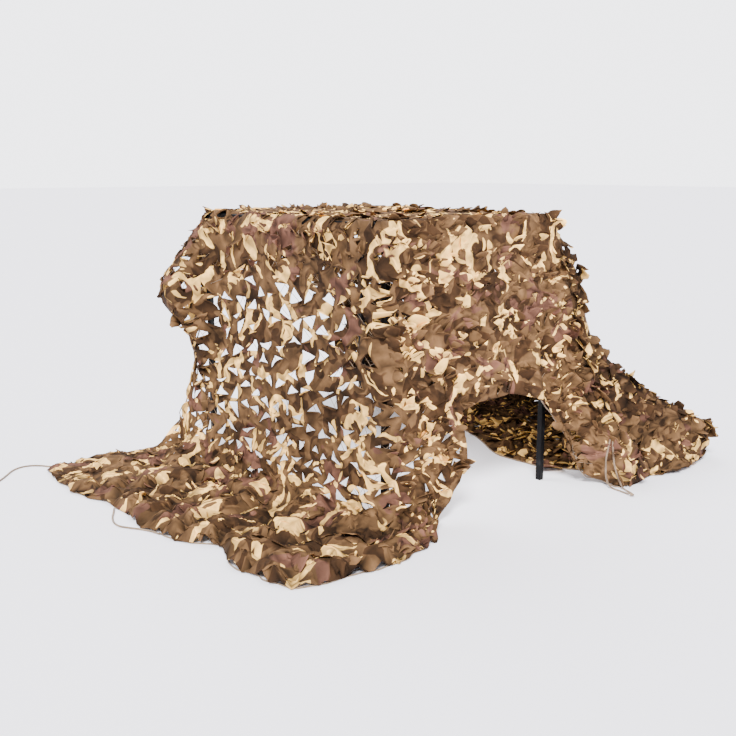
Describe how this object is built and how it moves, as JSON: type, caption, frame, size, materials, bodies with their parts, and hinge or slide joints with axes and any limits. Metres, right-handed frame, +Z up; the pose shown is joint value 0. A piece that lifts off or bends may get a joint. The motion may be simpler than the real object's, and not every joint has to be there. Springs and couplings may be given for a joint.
{
  "type": "camouflage net draped over a table",
  "caption": "Die-cut camouflage net draped over a small table, stretched open like a curtain at one side, hitched up in front and heaped on the floor at the other side.",
  "frame": {"origin": "on the floor, under the middle of the net's box", "axes": "+Z up; X along the table's short side, away from the stretched curtain towards the heap; Y along its long side, away from the hitched-up front"},
  "size_m": [2.0079, 1.3301, 0.7459],
  "materials": {
    "net_cloth": "thin printed woven polyester, brown ground with cream and mauve-brown patches, die-cut and curled",
    "cord_yarn": "pale brown twisted nylon cord",
    "table_black": "black powder coat, semi-matt"
  },
  "bodies": {
    "root": {"net_sheet": "net_cloth", "left_tie": "cord_yarn", "left_tie_knot": "cord_yarn", "right_tie_a": "cord_yarn", "right_tie_b": "cord_yarn", "right_tie_knot": "cord_yarn", "edge_loop": "cord_yarn", "table_top": "table_black", "leg_front_left": "table_black", "leg_front_right": "table_black", "leg_back_left": "table_black", "leg_back_right": "table_black"}
  },
  "joints": []
}
